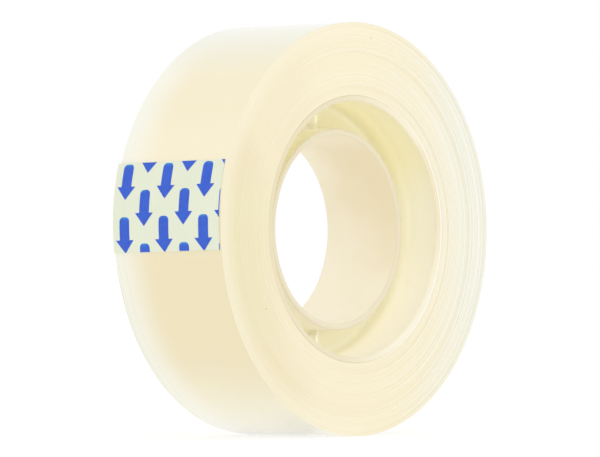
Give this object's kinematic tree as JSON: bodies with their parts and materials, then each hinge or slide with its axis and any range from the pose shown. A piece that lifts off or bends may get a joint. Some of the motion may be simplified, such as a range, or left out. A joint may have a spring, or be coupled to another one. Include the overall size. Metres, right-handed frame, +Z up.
{
  "type": "roll of clear adhesive tape",
  "caption": "Roll of clear stationery tape wound on a translucent moulded core, with a lift-up starter tab printed with arrows.",
  "frame": {"origin": "on the bore's axis, midway between the two sides of the roll", "axes": "+Z up with the roll standing on its rim, Y along the roll's axis, -Y out of the front side, -X towards the starter tab"},
  "size_m": [0.0564, 0.0194, 0.0564],
  "materials": {
    "core_plastic": "translucent moulded",
    "wound_tape": "fine cut edges of many turns",
    "outer_tape": "smooth film",
    "tab_film": "satin film",
    "blue_ink": "printed ink",
    "clear_tape": "clear film"
  },
  "bodies": {
    "roll": {"core": "core_plastic", "tape_winding": "wound_tape", "outer_turn": "outer_tape"},
    "pull_tab": {"start_tab": "tab_film", "arrow_print": "blue_ink", "tape_end": "clear_tape"}
  },
  "joints": [
    {"name": "tab_lift", "type": "hinge", "parent": "roll", "child": "pull_tab", "pos_m": [-0.02822, 0, -0.00312], "axis": [-0.0021, -0.9998, 0.0191], "range_deg": [0, 150], "stiffness_Nm_per_rad": 0.0001}
  ]
}
